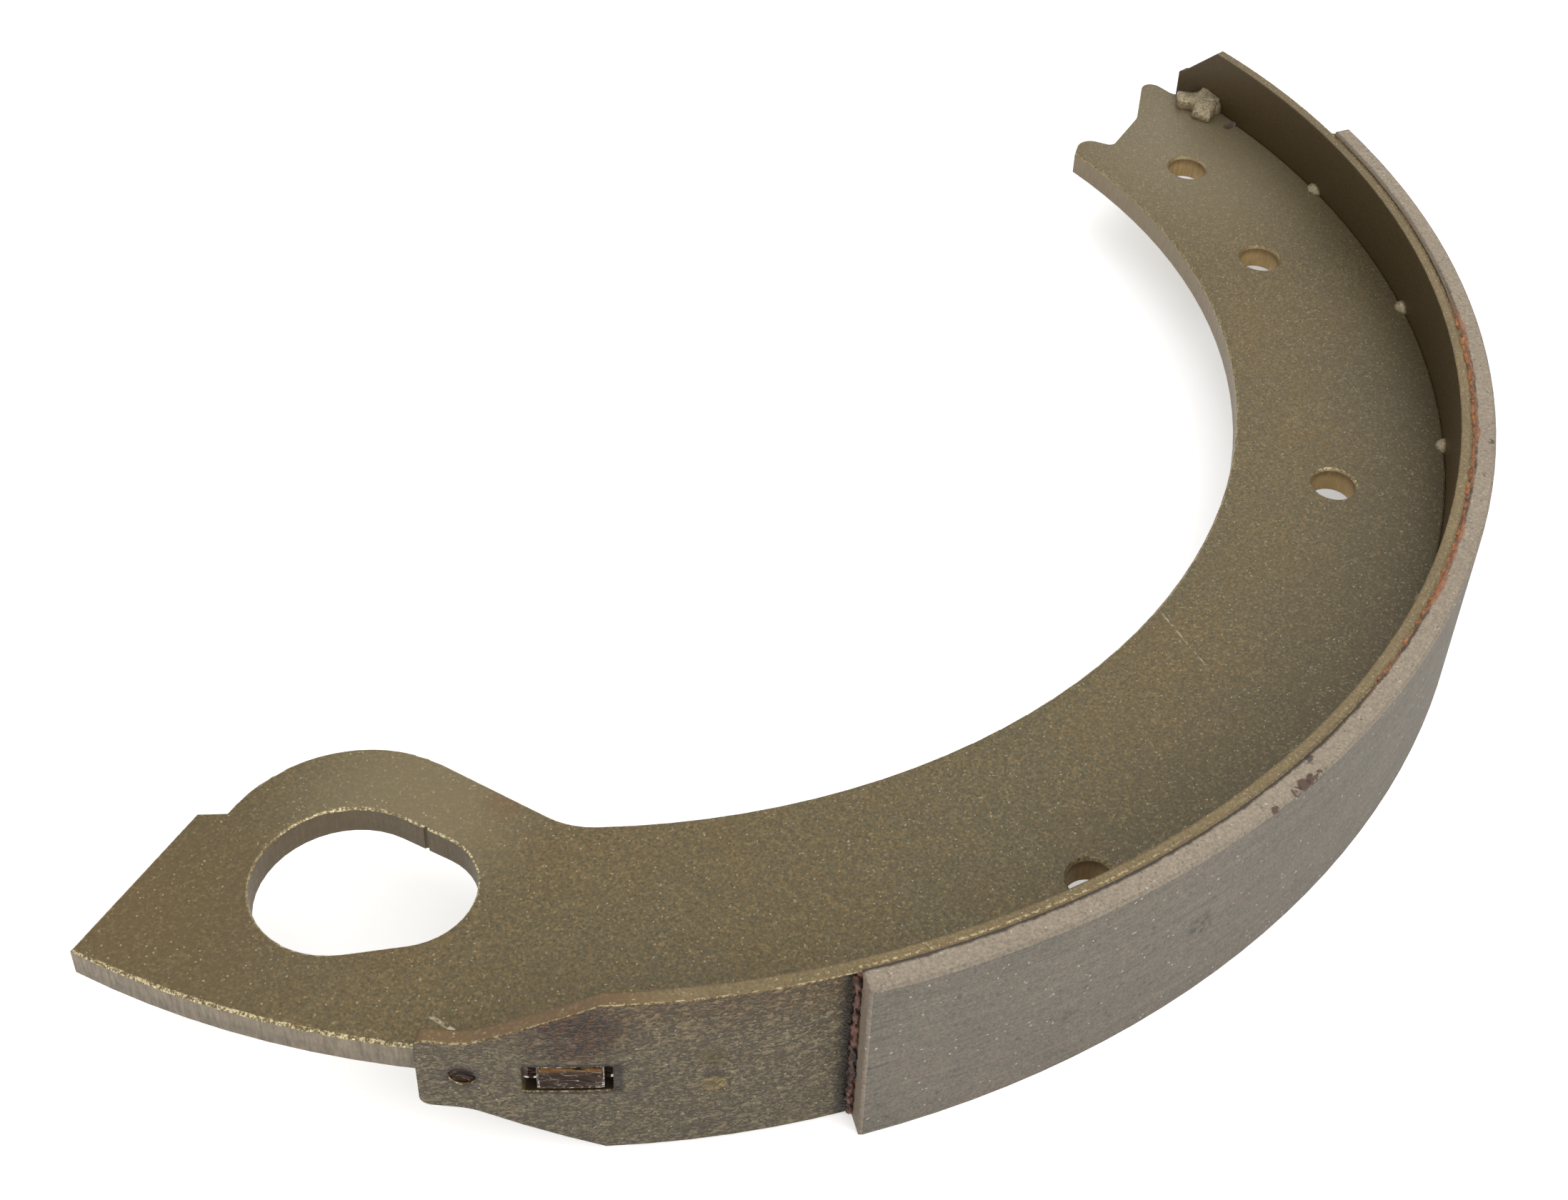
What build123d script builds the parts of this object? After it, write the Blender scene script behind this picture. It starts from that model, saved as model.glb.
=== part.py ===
from build123d import *
import os
from math import asin, atan2, copysign, cos, degrees, radians, sin

# Drum-in-hat parking brake shoe: a stamped web welded into a rolled table, with a bonded lining.
# All sizes are millimetres. The origin is on the drum's axis, half-way across the lining's width.
# +Z runs along the drum's axis, and +X passes through the middle of the lining.
# Angles are degrees about +Z from +X; beyond the lining's ends they turn about the bare end's own centre.

# --- Lining, bond and table: concentric bands, measured from the drum surface inwards ---
drum_radius = 105.0            # 210 mm brake drum
lining_thickness = 2.5
bond_thickness = 0.15
table_thickness = 1.4
lining_width = 22.0
lining_arc = 97.5              # centred on +X
lining_edge_chamfer = 0.3
table_width = 21.0
end_tightening = 8.0           # how much smaller the radius of the table's bare ends is
anchor_end_angle = -72.1       # end of the table towards the anchor block
adjuster_end_angle = 67.9      # end of the table towards the adjuster

lining_inner_radius = drum_radius - lining_thickness
table_outer_radius = lining_inner_radius - bond_thickness
table_inner_radius = table_outer_radius - table_thickness
web_seat_radius = table_inner_radius
half_arc = lining_arc / 2

# --- Tapered table ends ---
tip_half_width = 4.7           # half of the table's width at its very ends
anchor_tip_length = 4.4        # parallel stretch before the anchor end's taper
anchor_taper_length = 11.6
adjuster_tip_length = 0.6
adjuster_taper_length = 5.8
tip_corner_radius = 1.0
taper_blend_radius = 5.0

# --- Web ---
web_thickness = 3.2
web_depth = 25.65              # from the seat on the table to the inner arc
web_edge_round = 0.3           # rolled-over edge that the punch leaves on the upper face
half_web = web_thickness / 2
web_inner_radius = web_seat_radius - web_depth

# --- Anchor end: heights are measured from the seat's lowest level, straight below the drum's axis ---
anchor_face_x = 0.9            # straight face that bears on the anchor block
anchor_face_top = 19.35
ledge_slope = 28.0             # short ledge between the anchor face and the lobe
ledge_length = 4.0
lobe_centre = (16.5, 21.35)    # lobe around the clearance hole
lobe_radius = 13.2
shoulder_slope = 5.3           # straight shoulder from the lobe down to the inner arc
shoulder_length = 24.0
shoulder_fillet = 8.6
inner_arc_start = -70.0        # the inner arc starts here, inside the lobe and shoulder

# --- Clearance hole: two overlapping punches joined by their tangents ---
large_punch_centre = (17.5, 18.8)
large_punch_radius = 8.4
small_punch_centre = (23.1, 20.4)
small_punch_radius = 6.5
punch_nick_run = 2.8           # along the upper tangent, mark where the two punches meet
punch_nick_radius = 0.22

# --- Spring, hold-down and lever holes: distance in from the seat, and angle ---
spring_hole_radius = 2.6
spring_hole_places = ((13.9, 56.0), (15.5, 41.0), (13.3, 10.5))
lever_hole_radius = 2.4
lever_hole_place = (5.3, -32.7)
hole_edge_break = 0.3

# --- Adjuster end: x and y from the web's outer corner, then corner radius, from the inner arc outwards ---
inner_nib = ((-9.65, -19.5, 2.2),)
notch_floor = ((-4.8, -19.05, 1.0), (-4.25, -10.2, 4.0))
outer_nib = ((-6.9, -0.25, 1.5), (-4.5, -0.05, 1.2), (-1.5, -1.3, 1.5))
adjuster_inner_angle = 63.8    # where the inner arc ends
adjuster_web_angle = 66.7      # outer corner, where the web's end edge meets the table

# --- Tabs that locate the web in slots of the table ---
tab_angles = (-64.05, 62.6)
tab_length = 5.8
tab_recess = 0.2               # the tab's end stays this far below the table's outer face
slot_end_gaps = (0.8, 1.3)     # clearance at the tab's outer and inner end
slot_side_gap = 0.25
slot_corner_radius = 0.3
tab_relief_depth = 2.2         # notches at the tab's roots, as wide as the end gaps

# --- Gauge hole near the anchor end of the table ---
gauge_hole_angle = -69.7
gauge_hole_radius = 1.2

# --- Projection welds between web and table ---
weld_first_angle = 48.7        # then one weld every pitch towards the anchor end
weld_pitch = 16.0
weld_count = 7
anchor_weld_angle = -56.5
weld_ball_radius = 1.5
weld_height = 1.0              # squeezed out above the web's face
weld_reach = 1.3               # squeezed out along the web, away from the table
tack_angle = 63.4              # larger tack over the adjuster end's tab
tack_ball_radius = 1.75
tack_height = 2.4
tack_reach = 2.3
dimple_offset = 1.9            # electrode marks each side of the mid-plane, on the bare table
dimple_radius = 6.0
dimple_depth = 0.22

# --- Bond line squeezed out along the lining's ends ---
bond_bead = 0.45


def at(radius, angle):
    """Point in the XY plane at a radius and an angle in degrees."""
    return (radius * cos(radians(angle)), radius * sin(radians(angle)))


def arc_angle(length, radius):
    """Angle in degrees that a length along an arc takes up."""
    return degrees(length / radius)


def band(inner, outer, width, start, end):
    """Part of a ring between two angles, centred on the mid-plane."""
    with BuildPart() as ring:
        with BuildSketch(Plane.XZ) as section:
            with Locations(((inner + outer) / 2, 0)):
                Rectangle(outer - inner, width)
        revolve(axis=Axis.Z, revolution_arc=end - start)
    solid = ring.part
    first = solid.center()
    turn = (start + end) / 2 - degrees(atan2(first.Y, first.X))
    return solid.rotate(Axis.Z, turn)


def table_arc(angle):
    """Centre of the arc that the table follows at an angle, and how much its radius is reduced there."""
    if abs(angle) <= half_arc:
        return Vector(0, 0), 0
    return Vector(*at(end_tightening, half_arc if angle > 0 else -half_arc)), end_tightening


def on_table(radius, angle):
    """Point at a radius and an angle that follows the table into its tighter ends."""
    centre, reduction = table_arc(angle)
    return centre + Vector(*at(radius - reduction, angle))


def radial_plane(angle, radius):
    """Plane facing out of the table: local x runs along the table, local y along +Z."""
    x, y = at(1, angle)
    return Plane(origin=on_table(radius, angle), x_dir=(-y, x, 0), z_dir=(x, y, 0))


def fillet_near(sketch, point, radius):
    """Round the sketch's corner that lies nearest to a point."""
    corner = sketch.vertices().sort_by_distance(Vector(*point))[0]
    return fillet(corner, radius)


def from_seat_bottom(place):
    """Point given by its x and by its height above the seat's lowest level."""
    return Vector(place[0], place[1] - web_seat_radius)


def seat_line(start, end):
    """The web's outer edge between two angles: the main arc, and tighter arcs beyond the lining's ends."""
    bends = [start, -half_arc, half_arc, end]
    for first, last in zip(bends, bends[1:]):
        centre, reduction = table_arc((first + last) / 2)
        CenterArc(centre, web_seat_radius - reduction, first, last - first)


def web_outline():
    """The web's plan: ring sector with its horn, lobe and shoulder, and the notched adjuster end."""
    corner = on_table(web_seat_radius, adjuster_web_angle)
    inner_start = at(web_inner_radius, inner_arc_start)
    inner_end = at(web_inner_radius, adjuster_inner_angle)
    nibs_and_notch = inner_nib + notch_floor + outer_nib
    notched_edge = [(corner.X + x, corner.Y + y, radius) for x, y, radius in nibs_and_notch]
    centre, reduction = table_arc(anchor_end_angle)
    horn_radius = web_seat_radius - reduction
    horn_angle = -90 - degrees(asin((centre.X - anchor_face_x) / horn_radius))
    horn_tip = on_table(web_seat_radius, horn_angle)
    face_end = from_seat_bottom((anchor_face_x, anchor_face_top))
    ledge_end = face_end + Vector(ledge_length, 0).rotate(Axis.Z, ledge_slope)
    with BuildSketch() as sector:
        with BuildLine():
            CenterArc((0, 0), web_inner_radius, inner_arc_start, adjuster_inner_angle - inner_arc_start)
            Polyline(inner_end, *[(x, y) for x, y, _ in notched_edge], corner)
            seat_line(horn_angle, adjuster_web_angle)
            Polyline(horn_tip, face_end, ledge_end, inner_start)
        make_face()

    lobe_place = from_seat_bottom(lobe_centre)
    lobe = Pos(lobe_place) * Circle(lobe_radius)
    downhill = Vector(1, 0).rotate(Axis.Z, -shoulder_slope)
    lobe_touch = lobe_place + downhill.rotate(Axis.Z, 90) * lobe_radius
    shoulder_end = lobe_touch + downhill * shoulder_length
    shoulder_root = on_table(web_seat_radius - lobe_radius / 2, inner_arc_start)
    with BuildSketch() as shoulder:
        with BuildLine():
            Polyline(lobe_touch, shoulder_end, shoulder_root, lobe_place, close=True)
        make_face()

    plan = sector.sketch + lobe + shoulder.sketch
    along = lobe_touch.dot(downhill)
    run = (along**2 - lobe_touch.length**2 + web_inner_radius**2) ** 0.5 - along
    plan = fillet_near(plan, tuple(lobe_touch + downhill * run), shoulder_fillet)
    for x, y, corner_radius in notched_edge:
        plan = fillet_near(plan, (x, y), corner_radius)
    return plan


def clearance_hole():
    """Two punched circles joined by their common tangents, and the nick where the punches met."""
    large = from_seat_bottom(large_punch_centre)
    small = from_seat_bottom(small_punch_centre)
    with BuildSketch() as hole:
        with Locations(large):
            Circle(large_punch_radius)
        with Locations(small):
            Circle(small_punch_radius)
        make_hull()
    across = small - large
    lean = degrees(atan2((across.length**2 - (large_punch_radius - small_punch_radius) ** 2) ** 0.5,
                         large_punch_radius - small_punch_radius))
    normal = across.normalized().rotate(Axis.Z, lean)
    nick = large + normal * large_punch_radius + normal.rotate(Axis.Z, -90) * punch_nick_run
    return hole.sketch, Pos(*nick) * Circle(punch_nick_radius)


def tab_parts(angle):
    """A tab's plan and its two root reliefs."""
    centre, reduction = table_arc(angle)
    root_radius = web_seat_radius - reduction
    tip_radius = table_outer_radius - tab_recess - reduction
    half_tab = arc_angle(tab_length / 2, tip_radius)
    with BuildSketch() as tab:
        with BuildLine():
            outer = CenterArc((0, 0), tip_radius, -half_tab, 2 * half_tab)
            inner = CenterArc((0, 0), root_radius - web_edge_round, -half_tab, 2 * half_tab)
            Line(outer @ 0, inner @ 0)
            Line(outer @ 1, inner @ 1)
        make_face()
    reliefs = Sketch()
    outward = copysign(1, angle)
    for way, gap in zip((outward, -outward), slot_end_gaps):
        turn = way * (half_tab + arc_angle(gap / 2, root_radius))
        reliefs += Rot(0, 0, turn) * Pos(root_radius, 0) * SlotOverall(2 * tab_relief_depth, gap)
    return [Pos(centre) * Rot(0, 0, angle) * shape for shape in (tab.sketch, reliefs)]


def pierce(plate, place, radius):
    """Round hole with a broken upper edge, given by its distance in from the seat and its angle."""
    inset, angle = place
    spot = Pos(*at(web_seat_radius - inset, angle))
    plate -= spot * Cylinder(radius, web_thickness)
    broken_edge = Cone(radius, radius + hole_edge_break, hole_edge_break)
    return plate - spot * Pos(0, 0, half_web - hole_edge_break / 2) * broken_edge


def build_web():
    """Stamped plate: outline, clearance hole, spring and lever holes, tabs with relieved roots."""
    hole, nick = clearance_hole()
    plate = extrude(web_outline() - hole, half_web, both=True)
    plate = fillet(plate.faces().sort_by(Axis.Z)[-1].edges(), web_edge_round)
    plate -= extrude(nick, half_web, both=True)
    for place in spring_hole_places:
        plate = pierce(plate, place, spring_hole_radius)
    plate = pierce(plate, lever_hole_place, lever_hole_radius)
    for angle in tab_angles:
        tab, reliefs = tab_parts(angle)
        plate = plate + extrude(tab, half_web, both=True) - extrude(reliefs, half_web, both=True)
    return plate


def end_cutter(tip_length, taper_length):
    """What is trimmed from the flat strip at one end; local x runs from the end into the table."""
    half_width = table_width / 2
    spare = 10
    full = tip_length + taper_length
    with BuildSketch() as tongue:
        with BuildLine():
            Polyline((full + spare, half_width), (full, half_width), (tip_length, tip_half_width),
                     (0, tip_half_width), (0, -tip_half_width), (tip_length, -tip_half_width),
                     (full, -half_width), (full + spare, -half_width), close=True)
        make_face()
    shape = tongue.sketch
    for side in (-1, 1):
        shape = fillet_near(shape, (0, side * tip_half_width), min(tip_corner_radius, 0.9 * tip_length))
        if tip_length > tip_corner_radius:
            shape = fillet_near(shape, (tip_length, side * tip_half_width), taper_blend_radius)
    blank = Pos(full / 2, 0) * Rectangle(full + spare, table_width + spare)
    return blank - shape


def build_table():
    """Rolled strip: tapered ends, two tab slots, gauge hole and two electrode marks."""
    table = band(table_inner_radius, table_outer_radius, table_width, -half_arc, half_arc)
    for bend, end in ((-half_arc, anchor_end_angle), (half_arc, adjuster_end_angle)):
        centre, reduction = table_arc(end)
        start, stop = sorted((bend, end))
        bare = band(table_inner_radius - reduction, table_outer_radius - reduction, table_width, start, stop)
        table += Pos(centre) * bare
    below = table_inner_radius - table_thickness
    depth = 4 * table_thickness
    anchor_trim = radial_plane(anchor_end_angle, below) * end_cutter(anchor_tip_length, anchor_taper_length)
    table -= extrude(anchor_trim, depth)
    adjuster_trim = end_cutter(adjuster_tip_length, adjuster_taper_length).mirror(Plane.YZ)
    table -= extrude(radial_plane(adjuster_end_angle, below) * adjuster_trim, depth)
    outer_gap, inner_gap = slot_end_gaps
    slot_length = tab_length + outer_gap + inner_gap
    slot = RectangleRounded(slot_length, web_thickness + 2 * slot_side_gap, slot_corner_radius)
    for angle in tab_angles:
        shift = copysign((outer_gap - inner_gap) / 2, angle)
        table -= extrude(radial_plane(angle, below) * Pos(shift, 0) * slot, depth)
    gauge = radial_plane(gauge_hole_angle, below) * Circle(gauge_hole_radius)
    table -= extrude(gauge, depth)
    mark_plane = radial_plane(anchor_weld_angle, table_outer_radius + dimple_radius - dimple_depth)
    for side in (-1, 1):
        table -= mark_plane * Pos(0, side * dimple_offset, 0) * Sphere(dimple_radius)
    return table


def build_lining():
    """Moulded friction arc with its drum-side edges broken."""
    lining = band(lining_inner_radius, drum_radius, lining_width, -half_arc, half_arc)
    drum_face = lining.faces().filter_by(GeomType.CYLINDER).sort_by(lambda face: face.radius)[-1]
    return chamfer(drum_face.edges(), lining_edge_chamfer)


def build_bond(lining):
    """Adhesive film under the lining, with a bead squeezed out along each of its ends."""
    bond = band(table_outer_radius, lining_inner_radius, table_width, -half_arc, half_arc)
    for angle in (-half_arc, half_arc):
        x, y = at(table_outer_radius, angle)
        bond += Pos(x, y, 0) * Cylinder(bond_bead, table_width)
    return bond - Cylinder(table_outer_radius, lining_width) - lining


def weld_nugget(angle, side, ball_radius, height, reach):
    """Metal squeezed out of one weld: a ball trimmed to the corner between the web's face and the table."""
    centre, reduction = table_arc(angle)
    ball_place = on_table(web_seat_radius + ball_radius - reach, angle)
    ball = Pos(ball_place.X, ball_place.Y, side * (half_web + height - ball_radius)) * Sphere(ball_radius)
    corner = Cylinder(table_inner_radius - reduction, table_width)
    return (ball & Pos(centre.X, centre.Y, side * (half_web + table_width / 2)) * corner).solids()[0]


def build_welds():
    """Every weld nugget on both faces of the web, and the tack over the adjuster end's tab."""
    angles = [weld_first_angle - step * weld_pitch for step in range(weld_count)] + [anchor_weld_angle]
    nuggets = [weld_nugget(angle, side, weld_ball_radius, weld_height, weld_reach)
               for angle in angles for side in (-1, 1)]
    return nuggets + [weld_nugget(tack_angle, 1, tack_ball_radius, tack_height, tack_reach)]


def main():
    os.makedirs("parts", exist_ok=True)
    lining = build_lining()
    pieces = {
        "web": build_web(),
        "table": build_table(),
        "lining": lining,
        "bond_line": build_bond(lining),
        "web_welds": Compound(build_welds()),
    }
    for name, piece in pieces.items():
        piece.label = name
        export_step(piece, f"parts/{name}.step")


main()
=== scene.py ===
import math

import bpy
from mathutils import Matrix, Vector


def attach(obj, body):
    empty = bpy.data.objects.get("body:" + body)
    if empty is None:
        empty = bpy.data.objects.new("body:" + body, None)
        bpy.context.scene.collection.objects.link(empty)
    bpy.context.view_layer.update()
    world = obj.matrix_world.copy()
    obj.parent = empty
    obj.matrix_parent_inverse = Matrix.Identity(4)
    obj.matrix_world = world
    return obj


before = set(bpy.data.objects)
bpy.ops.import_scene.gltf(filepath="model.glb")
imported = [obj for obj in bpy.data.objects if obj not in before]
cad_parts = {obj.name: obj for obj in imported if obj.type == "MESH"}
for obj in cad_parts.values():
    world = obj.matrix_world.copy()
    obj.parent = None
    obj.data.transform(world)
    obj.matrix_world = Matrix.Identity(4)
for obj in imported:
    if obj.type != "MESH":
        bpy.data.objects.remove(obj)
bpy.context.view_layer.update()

# Sizes are metres and angles are degrees about +Z from +X, unless a name says otherwise.
# Only the places and reaches of the marks in a material are in millimetres.


# --- Camera, floor and light ---
# The shoe lies on its side on a plain pale floor and is seen from above its anchor end.
# Five soft square lights hang over and around it. A pale surround and a glowing floor fill the shadows.
CAMERA_PLACE = Vector((0.11086, -0.18606, 0.17184))
CAMERA_AZIMUTH = 16.5
CAMERA_ELEVATION = 38.448
CAMERA_ROLL = 7.466
LENS_MM = 50.711
SENSOR_MM = 36.0
CAMERA_SHIFT = (-0.17772, -0.14305)
FLOOR_HEIGHT = -0.011
FLOOR_WIDTH = 6.0
FLOOR_GLOW = 0.42
LIGHT_TARGET = Vector((0.06, 0.0, 0.0))
SURROUND_STRENGTH = 0.55

bpy.ops.object.select_all(action="DESELECT")
bpy.ops.object.camera_add()
camera = bpy.context.object
camera.name = "camera"
camera.data.lens = LENS_MM
camera.data.sensor_width = SENSOR_MM
camera.data.shift_x, camera.data.shift_y = CAMERA_SHIFT
camera.data.clip_start = 0.01
camera.matrix_world = (
    Matrix.Translation(CAMERA_PLACE)
    @ Matrix.Rotation(math.radians(CAMERA_AZIMUTH), 4, "Z")
    @ Matrix.Rotation(math.radians(90 - CAMERA_ELEVATION), 4, "X")
    @ Matrix.Rotation(math.radians(CAMERA_ROLL), 4, "Z"))
bpy.context.scene.camera = camera
bpy.context.scene.view_settings.view_transform = "Standard"


def soft_light(name, place, size, watts):
    """Square area light that points at the middle of the shoe."""
    bpy.ops.object.light_add(type="AREA", location=place)
    light = bpy.context.object
    light.name = name
    light.data.size = size
    light.data.energy = watts
    light.rotation_euler = (LIGHT_TARGET - Vector(place)).to_track_quat("-Z", "Y").to_euler()


soft_light("overhead_light", (0.05, 0.15, 0.75), 0.9, 2.0)
soft_light("front_light", (0.35, -0.55, 0.45), 0.5, 1.2)
soft_light("right_light", (0.70, -0.25, 0.40), 0.4, 2.2)
soft_light("back_light", (0.05, 0.80, 0.50), 0.6, 1.0)
soft_light("left_light", (-0.70, 0.0, 0.50), 0.5, 0.8)

world = bpy.data.worlds.new("surround")
world.use_nodes = True
backdrop = world.node_tree.nodes["Background"].inputs
backdrop["Color"].default_value = (1.0, 1.0, 1.0, 1.0)
backdrop["Strength"].default_value = SURROUND_STRENGTH
bpy.context.scene.world = world

MM = 0.001


class Wire:
    """A node's output socket. Arithmetic on it adds Math nodes, and numbers alone stay in Python."""

    def __init__(self, tree, socket=None):
        self.tree = tree
        self.socket = socket

    def node(self, kind, settings=None, sockets=None, output=0):
        """Add a node: its settings are set first, then the values or wires of its sockets."""
        node = self.tree.nodes.new("ShaderNode" + kind)
        for name, value in (settings or {}).items():
            setattr(node, name, value)
        for name, value in (sockets or {}).items():
            if isinstance(value, Wire):
                self.tree.links.new(value.socket, node.inputs[name])
            else:
                node.inputs[name].default_value = value
        return Wire(self.tree, node.outputs[output])

    def math(self, operation, *others):
        """Add a Math node on this value and the others."""
        return self.node("Math", {"operation": operation}, dict(enumerate((self,) + others)))

    def __add__(self, other):
        return self.math("ADD", other)

    def __radd__(self, other):
        return self.math("ADD", other)

    def __sub__(self, other):
        return self.math("SUBTRACT", other)

    def __rsub__(self, other):
        return self.node("Math", {"operation": "SUBTRACT"}, {0: other, 1: self})

    def __mul__(self, other):
        return self.math("MULTIPLY", other)

    def __rmul__(self, other):
        return self.math("MULTIPLY", other)

    def __truediv__(self, other):
        return self.math("DIVIDE", other)

    def __pow__(self, power):
        return self.math("POWER", power)

    def fade(self, low, high):
        """0 at or below low and 1 at or above high, with a smooth rise between; low may be the larger."""
        settings = {"interpolation_type": "SMOOTHSTEP"}
        return self.node("MapRange", settings, {"Value": self, "From Min": low, "From Max": high})

    def near(self, middle, reach, softness=0.5):
        """1 where the value is close to the middle, falling to 0 at the reach either side."""
        return (self - middle).math("ABSOLUTE").fade(reach, reach * (1 - softness))

    def tint(self, *colour_steps):
        """Mix this colour towards others in turn; each step is a mask and a colour."""
        colour = self
        for mask, other in colour_steps:
            colour = self.node("Mix", {"data_type": "RGBA"}, {0: mask, 6: colour, 7: other}, 2)
        return colour

    def shade(self, factor):
        """This colour made brighter or darker by a factor."""
        return self.node("VectorMath", {"operation": "SCALE"}, {0: self, "Scale": factor})

    def noise(self, scale, detail=2.0, roughness=0.5, distortion=0.0):
        """Soft noise with this wire as its place."""
        sockets = {"Vector": self, "Scale": scale, "Detail": detail, "Roughness": roughness,
                   "Distortion": distortion}
        return self.node("TexNoise", {}, sockets)

    def cells(self, scale):
        """Three random numbers for each small cell of space."""
        return self.node("TexVoronoi", {}, {"Vector": self, "Scale": scale}, "Color").parts()

    def stretched(self, x, y, z):
        """This place scaled along each axis."""
        return self.node("VectorMath", {"operation": "MULTIPLY"}, {0: self, 1: (x, y, z)})

    def parts(self):
        """The three numbers of this vector."""
        return [self.node("SeparateXYZ", {}, {0: self}, axis) for axis in range(3)]

    def spot(self, centre, radius, softness=0.6):
        """1 inside a ball about a centre, with a soft edge; both are in millimetres."""
        middle = tuple(value * MM for value in centre)
        distance = self.node("VectorMath", {"operation": "DISTANCE"}, {0: self, 1: middle}, "Value")
        return distance.fade(radius * MM, radius * MM * (1 - softness))

    def line(self, start, end, width):
        """1 along a straight mark between two points, in millimetres."""
        first, last = Vector(start) * MM, Vector(end) * MM
        run = (last - first).normalized()
        offset = self.node("VectorMath", {"operation": "SUBTRACT"}, {0: self, 1: first})
        across = offset.node("VectorMath", {"operation": "CROSS_PRODUCT"}, {0: offset, 1: run})
        distance = across.node("VectorMath", {"operation": "LENGTH"}, {0: across}, "Value")
        middle = (Vector(start) + Vector(end)) / 2
        half = (last - first).length / 2 / MM
        return distance.fade(width * MM, 0.3 * width * MM) * self.spot(middle, 1.1 * half, 0.3)


def rgb(red, green, blue):
    """Linear colour of an 8-bit display colour."""
    def linear(value):
        value /= 255
        return value / 12.92 if value <= 0.04045 else ((value + 0.055) / 1.055) ** 2.4
    return (linear(red), linear(green), linear(blue), 1.0)


class Finish:
    """A material under construction, with the object's own coordinates and polar ones about the drum axis."""

    def __init__(self, name):
        self.material = bpy.data.materials.new(name)
        self.material.use_nodes = True
        tree = self.material.node_tree
        self.shader = tree.nodes["Principled BSDF"]
        self.start = Wire(tree)
        self.place = self.start.node("TexCoord", {}, {}, "Object")
        self.x, self.y, self.z = self.place.parts()
        self.radius = (self.x * self.x + self.y * self.y) ** 0.5
        self.angle = self.y.math("ARCTAN2", self.x) * math.degrees(1)
        facing = self.start.node("TexCoord", {}, {}, "Normal").parts()
        self.up = facing[2]
        self.front = facing[1] * -1.0
        self.outward = (facing[0] * self.x + facing[1] * self.y) / self.radius

    def colour(self, value):
        """A plain colour as a wire, ready to be mixed."""
        return self.start.node("Mix", {"data_type": "RGBA"}, {0: 0.0, 6: value}, 2)

    def bump(self, height, depth, normal=None):
        """Normal of a surface whose height wire runs from 0 to 1 over a depth in metres."""
        sockets = {"Height": height, "Distance": depth, "Strength": 1.0}
        if normal:
            sockets["Normal"] = normal
        return self.start.node("Bump", {}, sockets)

    def soft_edges(self, radius):
        """The normal rounded over sharp edges, and a mask of those edges."""
        rounded = self.start.node("Bevel", {"samples": 6}, {"Radius": radius})
        flat = self.start.node("NewGeometry", {}, {}, "Normal")
        agree = rounded.node("VectorMath", {"operation": "DOT_PRODUCT"}, {0: rounded, 1: flat}, "Value")
        return rounded, (1 - agree).fade(0.01, 0.12)

    def apply(self, pieces, inputs):
        """Plug wires and plain numbers into the shader, and put the material on the pieces."""
        for name, value in inputs.items():
            if isinstance(value, Wire):
                self.material.node_tree.links.new(value.socket, self.shader.inputs[name])
            else:
                self.shader.inputs[name].default_value = value
        for piece in pieces:
            if not piece.data.materials:
                piece.data.materials.append(self.material)
            for slot in range(len(piece.data.materials)):
                piece.data.materials[slot] = self.material


bpy.ops.object.select_all(action="DESELECT")
bpy.ops.mesh.primitive_plane_add(size=FLOOR_WIDTH, location=(0, 0, FLOOR_HEIGHT))
floor = bpy.context.object
floor.name = "floor"
paper = Finish("pale_floor")
fibre = paper.place.noise(350.0, 3.0)
paper.apply([floor], {
    "Base Color": paper.colour(rgb(250, 250, 250)).tint((fibre * 0.25, rgb(244, 244, 243))),
    "Roughness": 0.9,
    "Normal": paper.bump(fibre, 0.00002),
    "Emission Strength": FLOOR_GLOW})


# --- Bronze stoving paint ---
# One metallic paint covers the stamped web, the rolled table and the weld nuggets.
# Fine flakes sparkle in it, and it wrinkles slightly where it ran thick on the table.
class BronzePaint(Finish):
    """The paint's colour, sparkle and grain; each piece adds its own marks."""

    FLAKE_SCALE = 4300.0
    GLITTER_SCALE = 7000.0
    GOLD = rgb(134, 112, 66)
    OLIVE = rgb(83, 81, 60)
    PALE_FLAKE = rgb(160, 144, 102)
    FLAKE_GLINT = rgb(230, 220, 190)

    def __init__(self, name, warm, cool):
        super().__init__(name)
        flake = self.place.cells(self.FLAKE_SCALE)
        glitter = self.place.cells(self.GLITTER_SCALE)
        self.flake = flake[0].fade(0.75, 1.0)
        self.sparkle = glitter[1].fade(0.987, 0.995)
        self.grain = self.place.noise(3600.0, 3.0, 0.75)
        self.mottle = self.place.noise(80.0, 5.0, 0.65).fade(0.32, 0.68)
        cloud = self.place.noise(24.0, 2.0, 0.5).fade(0.32, 0.68)
        base = self.colour(warm).tint((self.mottle * 0.4 + cloud * 0.5, cool))
        base = base.tint(
            (flake[1].fade(0.6, 1.0) * 0.55, self.GOLD),
            (flake[2].fade(0.6, 1.0) * 0.6, self.OLIVE))
        self.paint = base.shade(0.05 + 1.9 * self.grain)
        self.height = self.grain * 0.6 + flake[1] * 0.4

    def sparkling(self, colour):
        """Scatter faint flakes and a few painted glints over a colour."""
        return colour.tint((self.flake * 0.22, self.PALE_FLAKE), (self.sparkle * 0.32, self.FLAKE_GLINT))


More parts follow.
